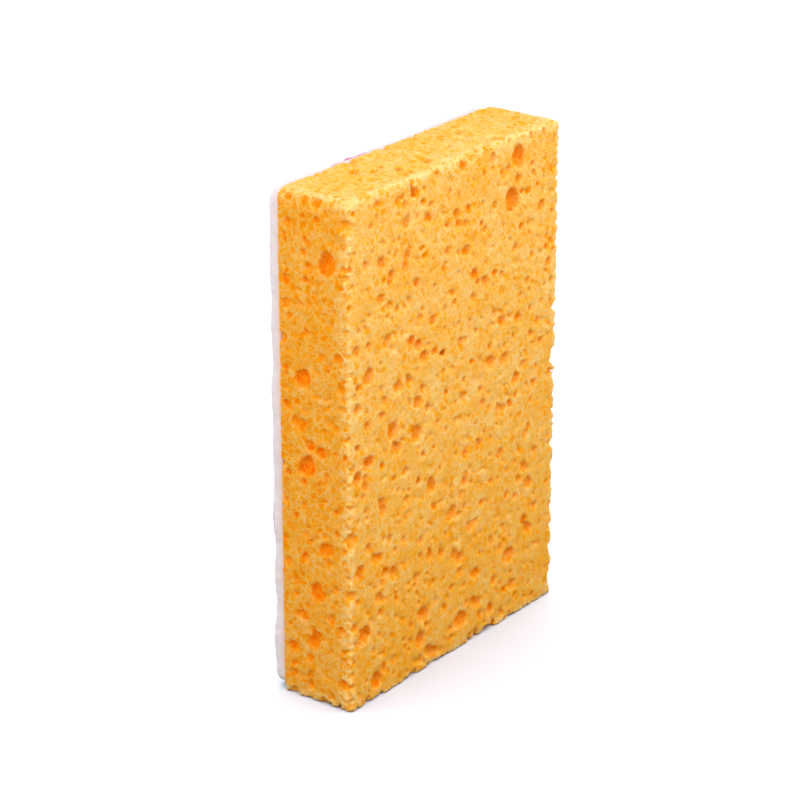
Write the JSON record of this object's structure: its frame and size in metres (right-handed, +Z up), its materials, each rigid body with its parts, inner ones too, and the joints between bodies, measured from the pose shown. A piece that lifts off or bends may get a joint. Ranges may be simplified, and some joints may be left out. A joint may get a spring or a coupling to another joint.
{
  "type": "cleaning sponge",
  "caption": "Rectangular open-pored cellulose sponge with a white fleece bonded to one broad face, for wiping and washing surfaces by hand.",
  "frame": {"origin": "centre of the bounding box at the short end that the sponge stands on", "axes": "+X across the broad wiping face, +Y from the foam's wiping face to the fleece, +Z up along the length"},
  "size_m": [0.0724, 0.0206, 0.11],
  "materials": {
    "foam": "matte, open-pored",
    "fleece": "matte, felted"
  },
  "bodies": {
    "root": {"foam_block": "foam", "fleece_backing": "fleece"}
  },
  "joints": []
}
